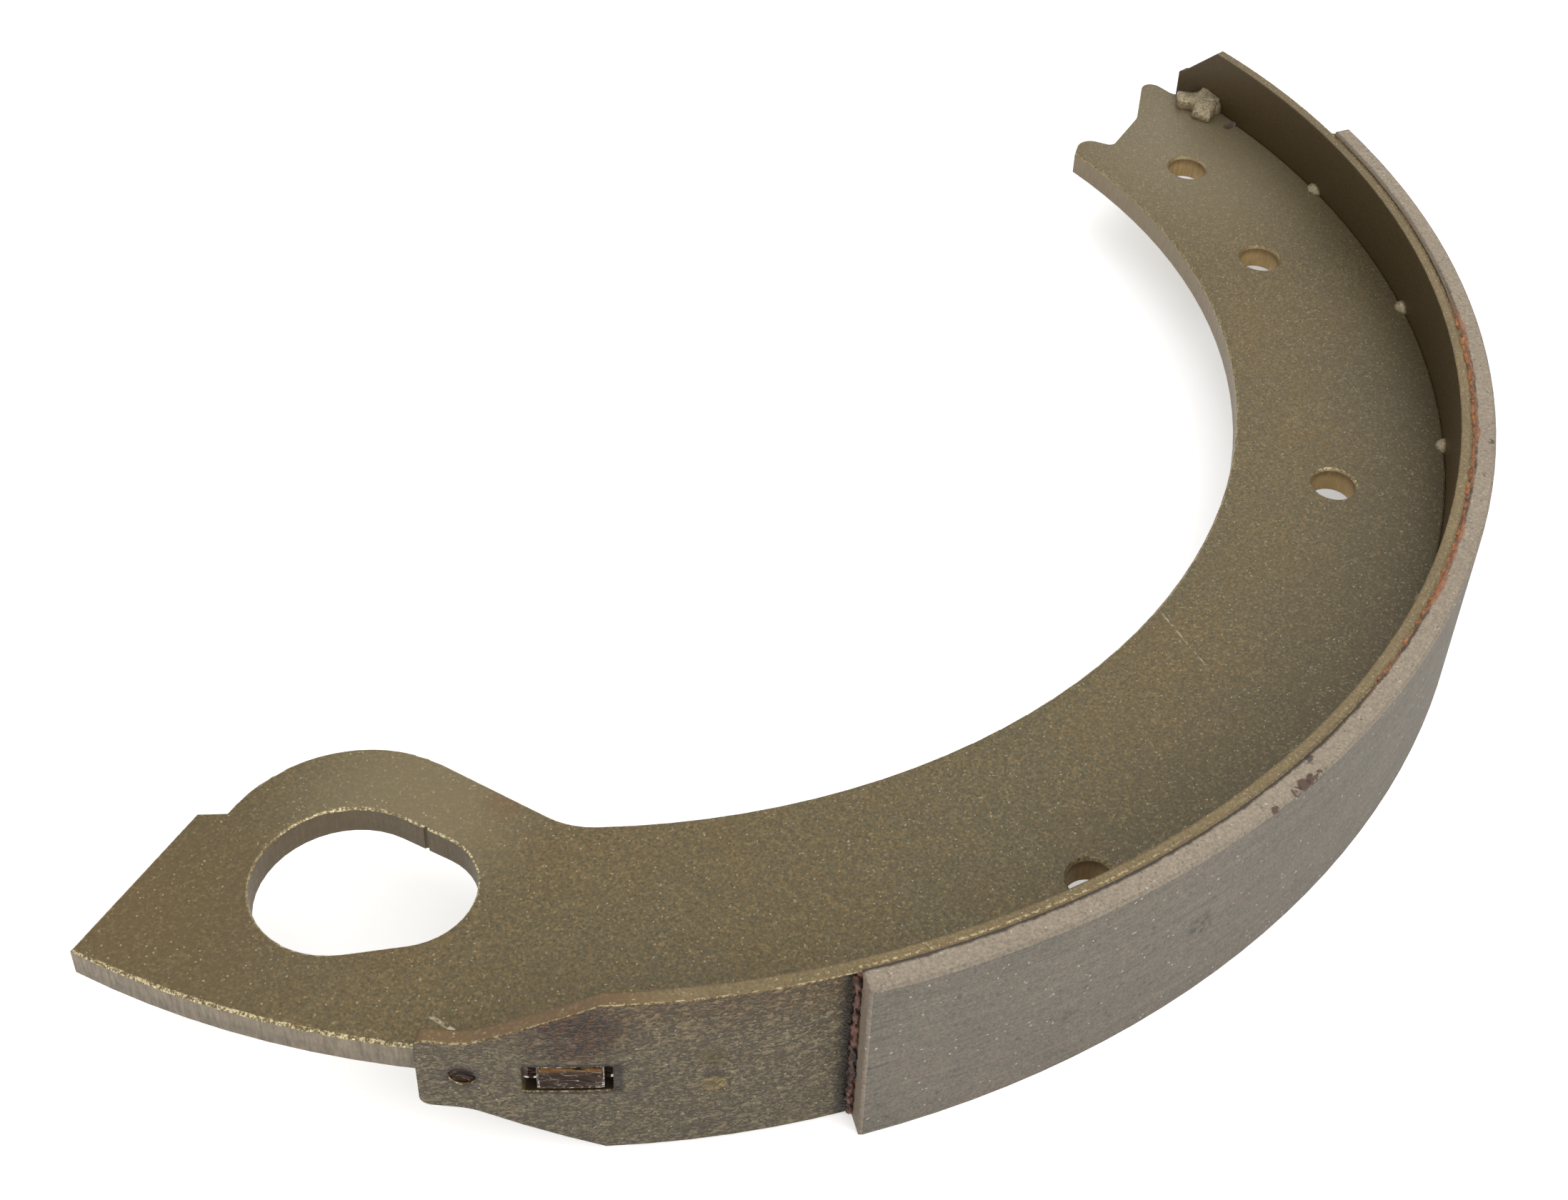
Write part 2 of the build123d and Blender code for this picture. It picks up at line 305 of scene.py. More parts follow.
# --- Web ---
# The stamped plate that carries everything: horn and anchor face, notched adjuster end and round holes.
# Punched edges are rolled over above and streaked down their walls, and the film there is thin and greyish.
ROUND_HOLES = ((48.7, 72.2), (64.5, 56.1), (86.2, 16.0), (80.5, -51.7))
CLEARANCE_HOLE = (19.5, -81.0, 0.0)
HORN = (6.0, -92.0, 1.6)
LOBE = (18.0, -72.0, 1.6)
ADJUSTER_END = (50.0, 80.0, 1.6)
RUSTY_EDGES = (((25.7, -68.0, 1.6), 3.0), ((26.2, -86.8, 1.6), 4.0))
HORN_SCRATCH = ((32.5, -91.3, 1.6), (35.9, -91.8, 1.6))
LONG_SCRATCH = ((74.5, -14.0, 1.6), (81.8, -19.6, 1.6))
TAB_DRIP = (46.5, -90.7, 0.0)
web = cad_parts["web"]
paint = BronzePaint("bronze_paint_web", rgb(109, 92, 60), rgb(97, 89, 67))
holes = sum((paint.place.spot((x, y, 0.0), 3.6, 0.2) for x, y in ROUND_HOLES), start=0.0)
far_end = paint.y.fade(0.0, 60.0 * MM)

# Walls: streaked by the punch, darker where the metal tore, browner in the clearance hole.
wall = paint.up.math("ABSOLUTE").fade(0.45, 0.1)
streak = paint.place.stretched(2600.0, 2600.0, 420.0).noise(1.0, 3.0, 0.7)
torn = paint.z.fade(0.2 * MM, -0.6 * MM)
big_hole = paint.place.spot(CLEARANCE_HOLE, 12.0, 0.1)
# The round holes' walls are painted lighter and golden as painted light from the floor below, darker towards
# the top.
lit_hole_walls = paint.colour(rgb(164, 138, 90)).tint((paint.z.fade(0.0, 1.2 * MM) * 0.7, rgb(92, 66, 34)))
lit_hole_walls = lit_hole_walls.shade(0.5 + streak)
walls = paint.colour(rgb(120, 108, 90)).tint((torn * 0.4, rgb(98, 88, 72))).shade(0.1 + 1.8 * streak)
walls = walls.tint(
    (big_hole * 0.75, rgb(84, 70, 46)),
    (far_end * 0.7, rgb(118, 102, 76)),
    (holes * 0.9, lit_hole_walls))

# Crest: painted glints over a paler painted highlight along the rolled-over edges, most of them towards the
# anchor end.
crest = paint.up.near(0.62, 0.38, 0.4)
towards_anchor = 0.35 + 0.65 * paint.front.fade(-0.1, 0.4)
crest_glint = crest * paint.grain.fade(0.46, 0.6) * towards_anchor * (1 - 0.75 * far_end)
crest_glint = crest_glint * (1 - 0.8 * holes)

# Upper face: golden horn, pale lobe and adjuster end, and painted shade along the foot of the table's wall.
horn = paint.place.spot(HORN, 24.0, 0.9)
lobe = paint.place.spot(LOBE, 16.0, 0.8)
adjuster_end = paint.place.spot(ADJUSTER_END, 32.0, 0.9)
middle = paint.angle.fade(-50.0, -20.0) * paint.angle.fade(50.0, 20.0)
foot_shade = paint.radius.fade(80.0 * MM, 101.0 * MM) * middle
rust = sum((paint.place.spot(place, reach, 0.9) for place, reach in RUSTY_EDGES), start=0.0) * paint.mottle
scratches = paint.place.line(*HORN_SCRATCH, 0.28) + paint.place.line(*LONG_SCRATCH, 0.14) * 0.6
scratches = scratches * paint.place.noise(1500.0, 3.0).fade(0.4, 0.6)
colour = paint.paint.tint(
    (horn * 0.55, rgb(105, 85, 51)),
    (lobe * 0.7, rgb(132, 119, 90)),
    (adjuster_end * 0.6, rgb(136, 125, 100)),
    (foot_shade * 0.6, rgb(76, 70, 53)),
    (rust * 0.35, rgb(116, 74, 40)))

# The tab's end is covered by a dark drip, with painted highlights on its ripples.
drip = paint.place.spot(TAB_DRIP, 4.6, 0.2) * paint.outward.fade(0.5, 0.9)
drip_ripple_highlight = drip * paint.place.noise(500.0, 2.0, 0.6, 2.0).near(0.5, 0.035, 0.7)
colour = paint.sparkling(colour).tint(
    (wall, walls),
    (crest * 0.35, rgb(150, 130, 86)),
    (crest_glint * 0.9, rgb(246, 230, 184)),
    (scratches * 0.8, rgb(206, 198, 172)),
    (drip * 0.95, rgb(66, 48, 38)),
    (drip_ripple_highlight * 0.85, rgb(190, 178, 170)))
paint.apply([web], {
    "Base Color": colour,
    "Roughness": 0.5 - 0.14 * paint.flake - 0.1 * crest + 0.1 * wall - 0.25 * drip,
    "Metallic": 0.4 - 0.2 * wall,
    "Normal": paint.bump(paint.height * (1 - wall) + streak * wall, 0.00005)})


# --- Table ---
# The rolled strip that the lining is bonded to. Its outer face wrinkles like leather where paint is thick.
# The sheared rim is lighter, with painted glints along its crest. Its bare ends are rolled tighter.
TABLE_RADIUS = 0.102
END_CENTRE = (0.005275, 0.006015)
END_TIGHTENING = 0.008
LINING_HALF_ARC = 48.75
SLOT_CENTRE = (0.04668, -0.0905)
SLOT_ANGLE = -64.05
SLOT_HALF_LENGTH = 0.00395
SLOT_HALF_HEIGHT = 0.00185
ANCHOR_END_Y = -0.080
GAUGE_HOLE = (37.89, -94.18, 0.0)
BROWN_PATCH = (46.8, -90.7, 6.6)
SCUFF = (57.1, -84.8, -7.4)
DRIED_RUNS = (((38.0, -94.5, 0.0), 2.3, 0.5), ((50.5, -88.6, -1.8), 3.0, 0.8))
LOWER_DIMPLE = (57.35, -84.7, -1.9)
LOWER_DIMPLE_SHADE = (57.35, -84.7, -1.3)
UPPER_DIMPLE = (57.35, -84.7, 1.9)
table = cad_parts["table"]
paint = BronzePaint("bronze_paint_table", rgb(104, 90, 66), rgb(94, 86, 67))
outer = paint.outward.fade(0.3, 0.8)
inner = paint.outward.fade(-0.3, -0.8)
rim = paint.up.fade(0.5, 0.9)
rounded, edge = paint.soft_edges(0.4 * MM)
upper = rounded.parts()[2].fade(0.15, 0.4)

# Outer face: wrinkles that run along the strip, calmer and plainer than the web's paint.
arc_length = paint.angle * math.radians(TABLE_RADIUS)
strip = paint.start.node("CombineXYZ", {}, {0: arc_length, 1: paint.z, 2: paint.radius})
wrinkle = strip.stretched(1500.0, 2400.0, 1500.0).noise(1.0, 2.0, 0.55, 1.3).fade(0.36, 0.64)
calm = paint.colour(rgb(100, 88, 66)).tint((paint.mottle * 0.5, rgb(90, 82, 64)))
calm = calm.shade(0.6 + 0.8 * paint.grain)
# The creases are painted darker and the ridges lighter: painted shade and highlight.
colour = paint.paint.tint((outer * 0.7, calm)).shade(0.95 + outer * (0.85 * wrinkle - 0.51))

# Rim: golden, browner on the bare anchor end and duller towards the adjuster end.
bare_end = paint.angle.fade(-57.0, -61.0)
rim_colour = paint.colour(rgb(128, 110, 76)).tint((paint.mottle * 0.6, rgb(106, 92, 62)))
rim_colour = rim_colour.shade(0.2 + 1.6 * paint.grain).tint(
    (bare_end * 0.75, rgb(108, 82, 52)),
    (paint.angle.fade(20.0, 45.0) * 0.5, rgb(96, 82, 54)))
# The inner wall is painted dark brown as painted shade.
colour = colour.tint((inner * 0.93, rgb(73, 57, 27)), (rim, rim_colour))

# Crest: the rim's outer edge is rusty gold, partly as painted highlight, with painted glints on it.
# Past the lining, the radius is measured from the bare end's own centre.
beyond = paint.angle.math("ABSOLUTE").fade(LINING_HALF_ARC - 0.05, LINING_HALF_ARC + 0.05)
end_x, end_y = paint.x - END_CENTRE[0], paint.y.math("ABSOLUTE") - END_CENTRE[1]
end_radius = (end_x * end_x + end_y * end_y) ** 0.5 + END_TIGHTENING
true_radius = paint.radius * (1 - beyond) + end_radius * beyond
bare_crest = true_radius.fade(101.5 * MM, 101.9 * MM) * edge * upper
lined_crest = paint.radius.near(101.8 * MM, 0.18 * MM, 0.6) * (1 - beyond) * rim
crest = bare_crest + lined_crest * (0.1 + 0.5 * paint.angle.fade(-24.0, -40.0))
glint = crest * paint.place.noise(2200.0, 3.0, 0.75).fade(0.46, 0.6)
colour = colour.tint(
    (1 - inner, paint.sparkling(colour)),
    (crest * 0.6, rgb(132, 98, 46)),
    (glint * 0.9, rgb(240, 226, 176)))

# Marks on the outer face: brown stain, dark lines round the openings, scuff and dried runs.
# Painted shadow on the table just beside the lining's end.
lining_end_shadow = paint.angle.math("ABSOLUTE").near(48.9, 1.1, 0.7) * outer
brown = paint.place.spot(BROWN_PATCH, 6.6, 0.7) * paint.place.noise(300.0, 4.0, 0.7).fade(0.32, 0.5)
# The stain and the darker upper strip keep the wrinkles' painted crease shade.
stain = paint.colour(rgb(104, 66, 36)).shade(0.06 + 0.6 * wrinkle)
high = paint.colour(rgb(96, 74, 44)).shade(0.4 + 1.1 * wrinkle)
slot_turn = math.radians(SLOT_ANGLE)
slot_x, slot_y = paint.x - SLOT_CENTRE[0], paint.y - SLOT_CENTRE[1]
slot_run = (slot_y * math.cos(slot_turn) - slot_x * math.sin(slot_turn)).math("ABSOLUTE") - SLOT_HALF_LENGTH
slot_rise = paint.z.math("ABSOLUTE") - SLOT_HALF_HEIGHT
slot_rim = slot_run.math("MAXIMUM", slot_rise).fade(0.5 * MM, 0.15 * MM)
anchor_side = paint.y.fade(ANCHOR_END_Y, ANCHOR_END_Y - 0.002)
# Painted shade on the slot's walls in the gaps beside the tab.
slot_gap_shade = slot_rim * (1 - outer) * (1 - inner) * anchor_side * (1 - edge)
gauge_rim = paint.place.spot(GAUGE_HOLE, 1.9, 0.3)
scuff = paint.place.spot(SCUFF, 2.6, 0.7) * paint.place.noise(900.0, 3.0).fade(0.5, 0.6)
runs = sum((paint.place.spot(place, reach, softness) for place, reach, softness in DRIED_RUNS), start=0.0)
runs = runs * paint.place.noise(600.0, 3.0).fade(0.4, 0.6)
# Electrode dimples: a golden painted highlight low in the lower one, and painted shade above it and over the
# upper one.
lower_dimple_highlight = paint.place.spot(LOWER_DIMPLE, 1.5, 0.3) * paint.z.fade(-1.2 * MM, -1.7 * MM)
lower_shade = paint.place.spot(LOWER_DIMPLE_SHADE, 1.6, 0.5) * paint.z.fade(-1.9 * MM, -1.4 * MM)
upper_dimple_shade = paint.place.spot(UPPER_DIMPLE, 1.7, 0.7) * (0.4 + 0.6 * wrinkle)
colour = colour.tint(
    (paint.z.fade(3.0 * MM, 10.5 * MM) * outer * 0.55, high),
    (lining_end_shadow * 0.85, rgb(30, 24, 18)),
    (brown * outer * 0.85, stain),
    ((slot_rim + gauge_rim * 0.8) * outer * 0.85, rgb(34, 24, 16)),
    (slot_gap_shade * 0.85, rgb(32, 26, 16)),
    (scuff * outer * 0.6, rgb(60, 52, 42)),
    (runs * outer * 0.8, rgb(62, 46, 36)),
    (lower_shade * outer * 0.75, rgb(62, 50, 32)),
    (lower_dimple_highlight * outer * (0.2 + 0.8 * wrinkle) * 0.6, rgb(160, 142, 88)),
    (upper_dimple_shade * outer * 0.8, rgb(92, 82, 50)))
paint.apply([table], {
    "Base Color": colour,
    "Roughness": 0.52 - 0.16 * paint.flake - 0.2 * runs,
    "Metallic": 0.35 - 0.1 * rim,
    "Normal": paint.bump(paint.height * 0.15 + wrinkle * outer * 0.8, 0.00025, rounded)})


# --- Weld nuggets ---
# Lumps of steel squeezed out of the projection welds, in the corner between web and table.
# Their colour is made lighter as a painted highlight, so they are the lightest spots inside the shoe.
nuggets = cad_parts["web_welds"]
weld_paint = BronzePaint("bronze_paint_welds", rgb(168, 152, 124), rgb(152, 140, 114))
weld_paint.apply([nuggets], {
    "Base Color": weld_paint.sparkling(weld_paint.paint),
    "Roughness": 0.4 - 0.1 * weld_paint.flake,
    "Normal": weld_paint.bump(weld_paint.height, 0.0001, weld_paint.soft_edges(0.5 * MM)[0]),
    "Metallic": 0.4})


# --- Tack weld ---
# One larger lump of weld steel that runs down from the table onto the web at the adjuster end.
# It was laid by hand over the joint and painted with the rest, so it is blunt and uneven; its lighter colour
# is painted highlight.
TACK_PLACE = (0.0462, 0.0875, 0.0029)
TACK_SIZE = (0.0037, 0.0055, 0.0033)
TACK_RIDGE_PLACE = (0.0440, 0.0885, 0.0024)
TACK_RIDGE_SIZE = (0.0050, 0.0030, 0.0022)
TACK_RIDGE_TURN_RADIANS = 0.4
TACK_TAPER = (0.85, 1.0, 0.45)
TACK_TAPER_CENTRE = (0.0465, 0.0875, 0.0014)
TACK_VOXEL = 0.00022
TACK_SOFTENING = 0.8
TACK_SOFTENING_PASSES = 30


def named_piece(name):
    """The piece just added, named, and with its place, turn and scale moved into its mesh."""
    piece = bpy.context.object
    piece.name = name
    bpy.ops.object.transform_apply(location=True, rotation=True, scale=True)
    return piece


bpy.ops.object.select_all(action="DESELECT")
bpy.ops.mesh.primitive_cube_add(size=1, location=TACK_PLACE, scale=TACK_SIZE)
tack = named_piece("tack_weld")
bpy.ops.object.mode_set(mode="EDIT")
bpy.ops.mesh.select_mode(type="FACE")
bpy.ops.object.mode_set(mode="OBJECT")
# The end that points along the web is drawn in, so the lump tapers.
for side in tack.data.polygons:
    side.select = side.normal.y < -0.9
for part in list(tack.data.edges) + list(tack.data.vertices):
    part.select = False
for side in tack.data.polygons:
    if side.select:
        for corner in side.vertices:
            tack.data.vertices[corner].select = True
bpy.ops.object.mode_set(mode="EDIT")
bpy.ops.transform.resize(value=TACK_TAPER, center_override=TACK_TAPER_CENTRE)
bpy.ops.mesh.primitive_cube_add(
    size=1, location=TACK_RIDGE_PLACE, scale=TACK_RIDGE_SIZE, rotation=(0, 0, TACK_RIDGE_TURN_RADIANS))
bpy.ops.object.mode_set(mode="OBJECT")
merge = tack.modifiers.new("merge", "REMESH")
merge.mode = "VOXEL"
merge.voxel_size = TACK_VOXEL
bpy.ops.object.modifier_apply(modifier=merge.name)
soften = tack.modifiers.new("soften", "SMOOTH")
soften.factor = TACK_SOFTENING
soften.iterations = TACK_SOFTENING_PASSES
bpy.ops.object.modifier_apply(modifier=soften.name)


def make_lumpy(piece, layers):
    """Push a piece's surface in and out by soft noise; each layer is a lump size and a height in metres."""
    for size, height in layers:
        lumps = bpy.data.textures.new(piece.name + "_lumps", "CLOUDS")
        lumps.noise_scale = size
        lumps.noise_depth = 2
        push = piece.modifiers.new("lumps", "DISPLACE")
        push.texture = lumps
        push.texture_coords = "LOCAL"
        push.strength = height
        push.mid_level = 0.5
        bpy.ops.object.modifier_apply(modifier=push.name)
    bpy.ops.object.shade_smooth()


make_lumpy(tack, [(0.0032, 0.0008)])
weld_paint.apply([tack], {})
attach(tack, "root")


# --- Lining ---
# The moulded friction arc. Its drum face is ground along the arc, with fine lines, pits and metal specks.
# The side bands and ends are as moulded, lighter and warmer. Rust spots, chips and glue mark the upper band.
DRUM_RADIUS = 0.105
RUST_SPOTS = (
    ((-45.13, 11.0, 104.91), 0.6),
    ((-41.81, 11.0, 104.72), 0.7),
    ((-40.57, 11.0, 104.62), 0.85),
    ((-39.36, 11.0, 104.74), 0.8),
    ((-38.26, 11.0, 104.78), 0.5))
CHIPS = (
    ((-37.6, 11.0, 102.8), 0.9),
    ((21.1, 11.0, 104.3), 0.6),
    ((14.75, 11.0, 104.0), 0.5))
DARK_PATCH = (-53.3, 0.1, 42.0)
FAINT_PATCH = (-68.4, -3.1, 42.0)
GLUE_START = -15.0
GLUE_END = 27.5
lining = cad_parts["lining"]
stone = Finish("friction_compound")
face = stone.outward.fade(0.55, 0.9)
top = stone.up.fade(0.2, 0.6)

# Unrolled place: along the arc, across the width and out from the drum's axis.
along = stone.angle * math.radians(DRUM_RADIUS)
unrolled = stone.start.node("CombineXYZ", {}, {0: along, 1: stone.z, 2: stone.radius})

# Compound: ground lines on the drum face, and grit, pits and metal specks throughout.
lines = unrolled.stretched(190.0, 5200.0, 500.0).noise(1.0, 3.0, 0.65)
long_lines = unrolled.stretched(45.0, 1500.0, 300.0).noise(1.0, 3.0, 0.6)
grit = stone.place.noise(3400.0, 4.0, 0.75)
speck = stone.place.cells(5200.0)
pit = speck[0].fade(0.97, 0.995)
metal = speck[1].fade(0.993, 0.998)
hole = stone.place.cells(2600.0)[0].fade(0.990, 0.997)
hue = stone.place.noise(900.0, 3.0, 0.6).fade(0.35, 0.65)
patch = stone.place.noise(80.0, 4.0, 0.6).fade(0.35, 0.68)
cut_end = stone.angle.math("ABSOLUTE").fade(48.6, 48.72) * (1 - face)
ground = stone.colour(rgb(106, 97, 86)).tint((patch * 0.6, rgb(96, 91, 80)), (hue * 0.4, rgb(86, 85, 76)))
ground = ground.shade(0.5 + 0.62 * lines + 0.38 * long_lines)
moulded = stone.colour(rgb(150, 137, 119)).tint((patch * 0.7, rgb(144, 131, 114)))
moulded = moulded.tint((cut_end * 0.5, rgb(112, 96, 80)))
colour = moulded.tint((face, ground)).shade(0.1 + 1.8 * grit)

# Marks: scratches at the anchor end, dark patches on the face, rust spots and chips along the upper edge.
start_grain = unrolled.stretched(300.0, 1900.0, 300.0).noise(1.0, 3.0).fade(0.56, 0.68)
start_lines = stone.angle.near(-LINING_HALF_ARC, 2.6, 0.8) * start_grain
flat = unrolled.stretched(1.0, 1.0, 0.4)
cluster = flat.spot(DARK_PATCH, 2.6, 0.7) + flat.spot(FAINT_PATCH, 1.8, 0.8) * 0.6
cluster = cluster * stone.place.noise(1300.0, 3.0, 0.7).fade(0.46, 0.56)
rust = sum((unrolled.spot(place, reach, 0.3) for place, reach in RUST_SPOTS), start=0.0)
rust = rust * stone.place.noise(1000.0, 3.0, 0.6).fade(0.34, 0.46)
chips = sum((unrolled.spot(place, reach, 0.5) for place, reach in CHIPS), start=0.0)
chips = chips * stone.place.noise(1500.0, 3.0).fade(0.42, 0.56)

# Joint: painted shade along the gap, and a ragged glue smear of uneven width above one stretch of it.
joint_radius = stone.radius + stone.place.noise(700.0, 3.0, 0.7) * 0.0006
joint_gap_shade = joint_radius.fade(103.25 * MM, 102.95 * MM) * top
joint_gap_shade = joint_gap_shade * (0.85 - 0.45 * stone.angle.fade(22.0, 34.0))
glue_reach = stone.angle.fade(GLUE_END, GLUE_END - 3.5) * stone.angle.fade(GLUE_START, GLUE_START + 3.5)
slow = stone.place.noise(130.0, 2.0, 0.5)
ragged = stone.place.noise(900.0, 4.0, 0.75)
smear_radius = stone.radius + slow * (2.2 * MM) + ragged * (1.2 * MM)
smear = smear_radius.fade(104.65 * MM, 104.4 * MM) * top * glue_reach
mealy = stone.place.noise(1500.0, 3.0).fade(0.45, 0.6)
smear_colour = stone.colour(rgb(152, 98, 60)).tint((mealy * 0.6, rgb(96, 60, 40)))
colour = colour.tint(
    (pit * 0.4, rgb(58, 52, 46)),
    (hole * face * 0.5, rgb(66, 62, 56)),
    (metal * 0.45, rgb(214, 210, 198)),
    (start_lines * face * 0.3, rgb(52, 58, 54)),
    (cluster * face * 0.7, rgb(54, 58, 56)),
    (rust * 0.85, rgb(74, 52, 42)),
    (chips * 0.8, rgb(64, 58, 54)),
    (joint_gap_shade, rgb(46, 36, 29)),
    (smear * 0.9, smear_colour))
height = grit * 0.5 + lines * face * 0.3 - pit * 0.4 - hole * 0.5 + smear * 0.6
stone.apply([lining], {
    "Base Color": colour,
    "Roughness": 0.86 - 0.4 * metal - 0.3 * smear,
    "Metallic": metal * 0.7,
    "Normal": stone.bump(height, 0.00007, stone.soft_edges(0.35 * MM)[0])})


# --- Adhesive ---
# The shoe was clamped while its adhesive cured, and some of it squeezed out.
# The film shows as a thin red-brown line, with lumpy glossy beads down both lining ends and above the joint.
END_BEAD_RADIUS = 0.00038
END_BEAD_LENGTH = 0.0206
END_BEAD_RING = 0.1026
END_BEAD_OVERHANG = 0.0003
END_BEAD_CUTS = 110
JOINT_BEAD_RADIUS = 0.00037
JOINT_BEAD_RING = 0.10255
JOINT_BEAD_HEIGHT = 0.0104
JOINT_BEAD_ARC = (-12.5, 25.2)
JOINT_BEAD_STEPS = 420
glue = Finish("cured_adhesive")
lump = glue.place.noise(1100.0, 3.0, 0.65)
fresh = glue.angle.fade(-47.0, -40.0) * glue.angle.fade(44.0, 38.0)
dark = glue.colour(rgb(92, 50, 30)).tint((lump.fade(0.42, 0.56), rgb(34, 20, 14)))
orange = glue.colour(rgb(176, 112, 62)).tint((lump.fade(0.44, 0.62), rgb(112, 68, 40)))
# Past the joint bead's stretch the film is mostly painted dark, as painted shade in the gap under the rim.
under_rim_shade = glue.angle.fade(-13.0, -15.0) + glue.angle.fade(26.0, 28.0)
orange = orange.tint((under_rim_shade * lump.fade(0.62, 0.5) * 0.9, rgb(34, 24, 18)))
glue.apply([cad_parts["bond_line"]], {
    "Base Color": dark.tint((fresh, orange)),
    "Roughness": 0.22 + 0.4 * lump,
    "Normal": glue.bump(lump, 0.00025)})

for name, end in (("anchor_end_bead", -1), ("adjuster_end_bead", 1)):
    turn = math.radians(end * LINING_HALF_ARC)
    beyond = end * END_BEAD_OVERHANG
    place = (END_BEAD_RING * math.cos(turn) - beyond * math.sin(turn),
             END_BEAD_RING * math.sin(turn) + beyond * math.cos(turn), 0.0)
    bpy.ops.object.select_all(action="DESELECT")
    bpy.ops.mesh.primitive_cylinder_add(
        vertices=20, radius=END_BEAD_RADIUS, depth=END_BEAD_LENGTH, location=place)
    bead = named_piece(name)
    for part in list(bead.data.vertices) + list(bead.data.polygons):
        part.select = False
    for rise in bead.data.edges:
        low, high = (bead.data.vertices[corner].co for corner in rise.vertices)
        rise.select = abs(low.z - high.z) > 0.5 * END_BEAD_LENGTH
    bpy.ops.object.mode_set(mode="EDIT")
    bpy.ops.mesh.select_mode(type="EDGE")
    bpy.ops.mesh.subdivide(number_cuts=END_BEAD_CUTS)
    bpy.ops.mesh.select_all(action="SELECT")
    bpy.ops.mesh.remove_doubles(threshold=0.000001)
    bpy.ops.mesh.normals_make_consistent(inside=False)
    bpy.ops.object.mode_set(mode="OBJECT")
    make_lumpy(bead, [(0.0011, 0.0008), (0.00045, 0.0006)])
    glue.apply([bead], {})
    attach(bead, "root")

start_turn, end_turn = (math.radians(angle) for angle in JOINT_BEAD_ARC)
bead_start = (JOINT_BEAD_RING * math.cos(start_turn),
              JOINT_BEAD_RING * math.sin(start_turn), JOINT_BEAD_HEIGHT)
bpy.ops.object.select_all(action="DESELECT")
bpy.ops.mesh.primitive_circle_add(
    vertices=14, radius=JOINT_BEAD_RADIUS, fill_type="NOTHING",
    location=bead_start, rotation=(math.radians(90), 0, start_turn))
joint_bead = named_piece("joint_bead")
bpy.ops.object.mode_set(mode="EDIT")
bpy.ops.mesh.select_all(action="SELECT")
bpy.ops.mesh.spin(steps=JOINT_BEAD_STEPS, angle=start_turn - end_turn, center=(0, 0, 0), axis=(0, 0, 1))
bpy.ops.mesh.select_all(action="DESELECT")
bpy.ops.mesh.select_mode(type="EDGE")
bpy.ops.mesh.select_non_manifold()
bpy.ops.mesh.edge_face_add()
bpy.ops.mesh.select_all(action="SELECT")
bpy.ops.mesh.normals_make_consistent(inside=False)
bpy.ops.object.mode_set(mode="OBJECT")
make_lumpy(joint_bead, [(0.0015, 0.0006), (0.0006, 0.0005)])
glue.apply([joint_bead], {})
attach(joint_bead, "root")


# --- Paint film ---
# Paint that ran over the bare table end while wet has dried as thin dark skins, rippled and glossy.
# One bridges the small gauge hole. The other lies on the web's tab and fills the notches at the tab's roots
# with dark skins that stand in for their shade.
HOLE_FILM_PLACE = tuple(value * MM for value in GAUGE_HOLE)
HOLE_FILM_ANGLE = -69.7
HOLE_FILM_RADIUS = 0.00124
FILM_THICKNESS = 0.0003
TAB_FILM_PLACE = (0.04645, -0.09061, 0.0)
TAB_FILM_LENGTH = 0.0054
TAB_FILM_HEIGHT = 0.0029
NOTCH_SHADE_FILM_THICKNESS = 0.0006
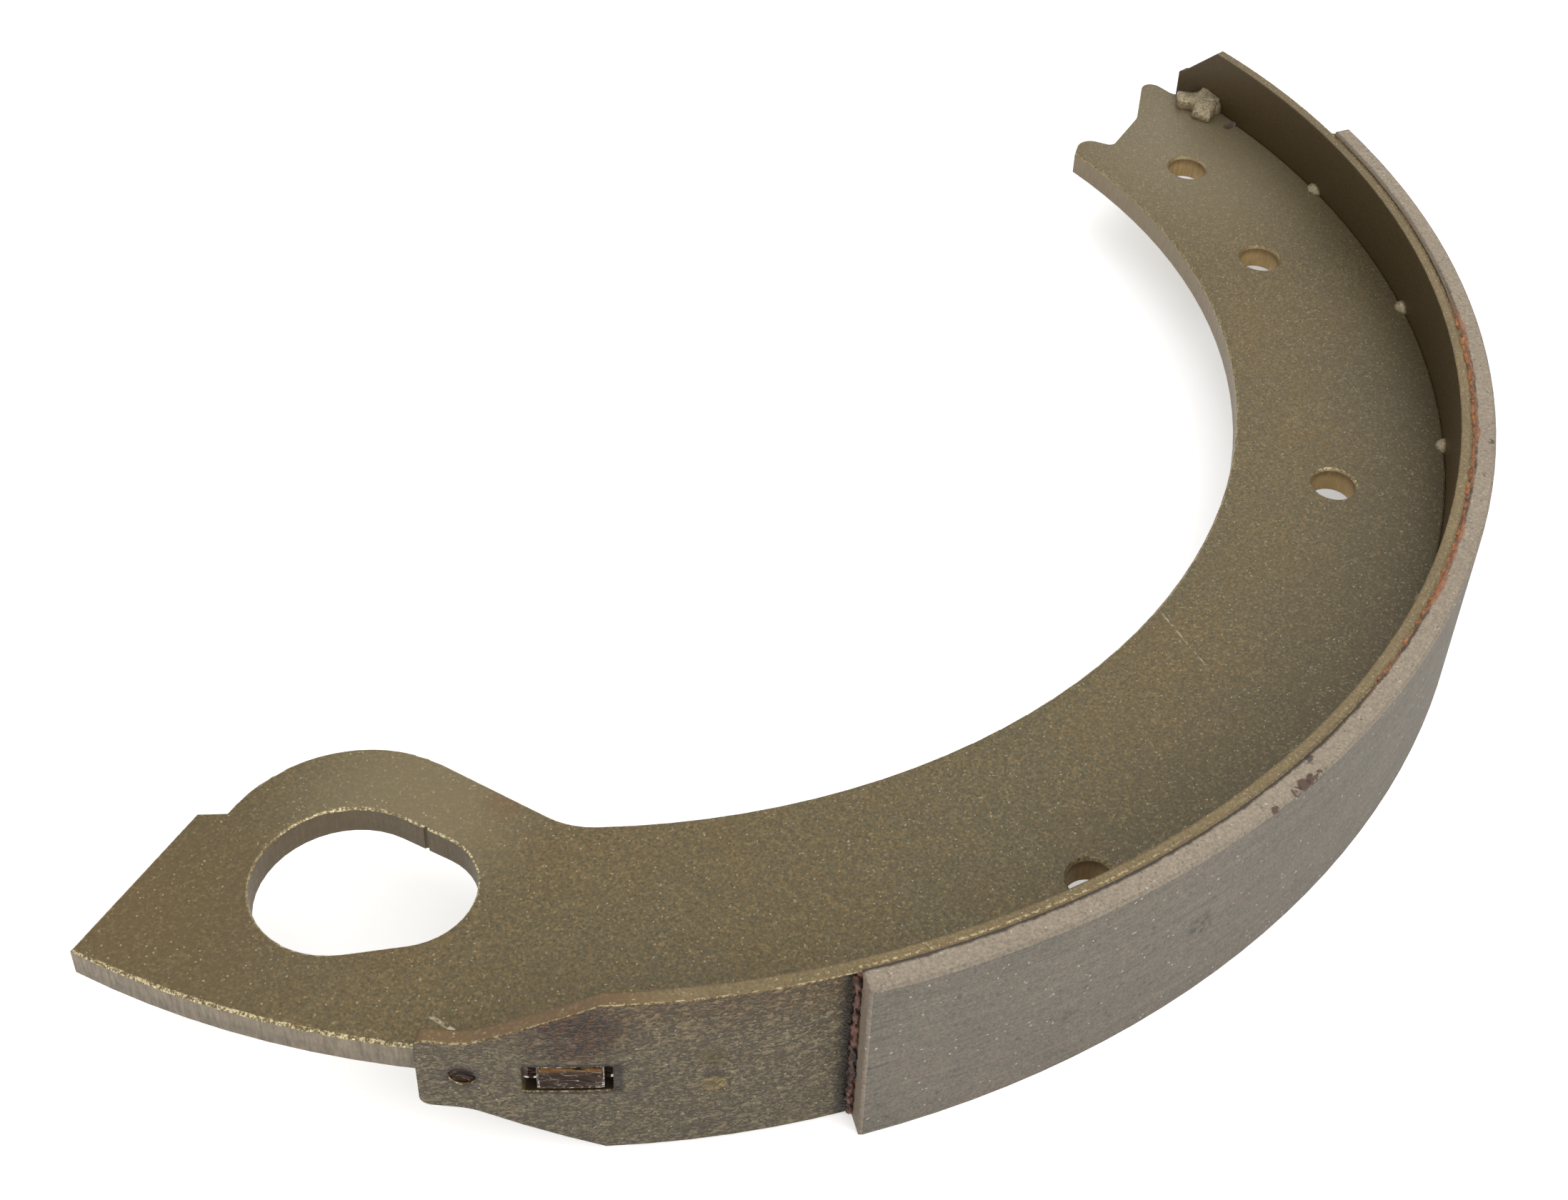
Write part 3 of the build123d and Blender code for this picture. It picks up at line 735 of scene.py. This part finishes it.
# Dark skins in the tab's root notches, standing in for the notches' shade.
NOTCH_SHADE_FILMS = (
    ((0.04283, -0.09071, 0.0), 0.0010, 0.0030),
    ((0.04265, -0.09090, -0.00175), 0.00035, 0.0006),
    ((0.04899, -0.08771, 0.0), 0.0015, 0.0030),
    ((0.04862, -0.08799, -0.00175), 0.0005, 0.0006),
    ((0.04957, -0.08754, -0.00175), 0.00025, 0.0006))
skin = Finish("dried_paint_film")
ripple = skin.place.stretched(450.0, 450.0, 1500.0).noise(1.0, 2.0, 0.5, 0.8)
skin_colour = skin.colour(rgb(42, 27, 17)).tint(
    (skin.z.fade(0.7 * MM, 1.3 * MM) * 0.7, rgb(116, 84, 38)),
    # The pale streaks on the ripple crests are painted highlights.
    (ripple.near(0.5, 0.02, 0.8) * 0.4, rgb(164, 148, 130)),
    (ripple.fade(0.58, 0.68), rgb(22, 15, 11)))

bpy.ops.object.select_all(action="DESELECT")
bpy.ops.mesh.primitive_cylinder_add(
    vertices=32, radius=HOLE_FILM_RADIUS, depth=FILM_THICKNESS, end_fill_type="TRIFAN",
    location=HOLE_FILM_PLACE, rotation=(0, math.radians(90), math.radians(HOLE_FILM_ANGLE)))
hole_film = named_piece("gauge_hole_film")
bpy.ops.object.mode_set(mode="EDIT")
bpy.ops.mesh.select_all(action="SELECT")
bpy.ops.mesh.subdivide(number_cuts=4)
bpy.ops.mesh.normals_make_consistent(inside=False)
bpy.ops.object.mode_set(mode="OBJECT")
make_lumpy(hole_film, [(0.0009, 0.0004)])

bpy.ops.object.select_all(action="DESELECT")
bpy.ops.mesh.primitive_cube_add(
    size=1, location=TAB_FILM_PLACE, scale=(FILM_THICKNESS, TAB_FILM_LENGTH, TAB_FILM_HEIGHT),
    rotation=(0, 0, math.radians(SLOT_ANGLE)))
tab_film = named_piece("tab_film")
bpy.ops.object.mode_set(mode="EDIT")
bpy.ops.mesh.select_all(action="SELECT")
bpy.ops.mesh.bevel(offset=0.0001, segments=2, affect="EDGES")
bpy.ops.mesh.select_all(action="SELECT")
bpy.ops.mesh.subdivide(number_cuts=12)
for notch_place, length, height in NOTCH_SHADE_FILMS:
    bpy.ops.mesh.select_all(action="DESELECT")
    bpy.ops.mesh.primitive_cube_add(
        size=1, location=notch_place, scale=(NOTCH_SHADE_FILM_THICKNESS, length, height),
        rotation=(0, 0, math.radians(SLOT_ANGLE)))
    bpy.ops.mesh.subdivide(number_cuts=6)
bpy.ops.mesh.select_all(action="SELECT")
bpy.ops.mesh.normals_make_consistent(inside=False)
bpy.ops.object.mode_set(mode="OBJECT")
make_lumpy(tab_film, [(0.0012, 0.0005)])

skin.apply([hole_film, tab_film], {
    "Base Color": skin_colour,
    "Roughness": 0.35 + 0.3 * ripple,
    "Normal": skin.bump(ripple, 0.0001),
    "Specular IOR Level": 0.12})
for film in (hole_film, tab_film):
    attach(film, "root")
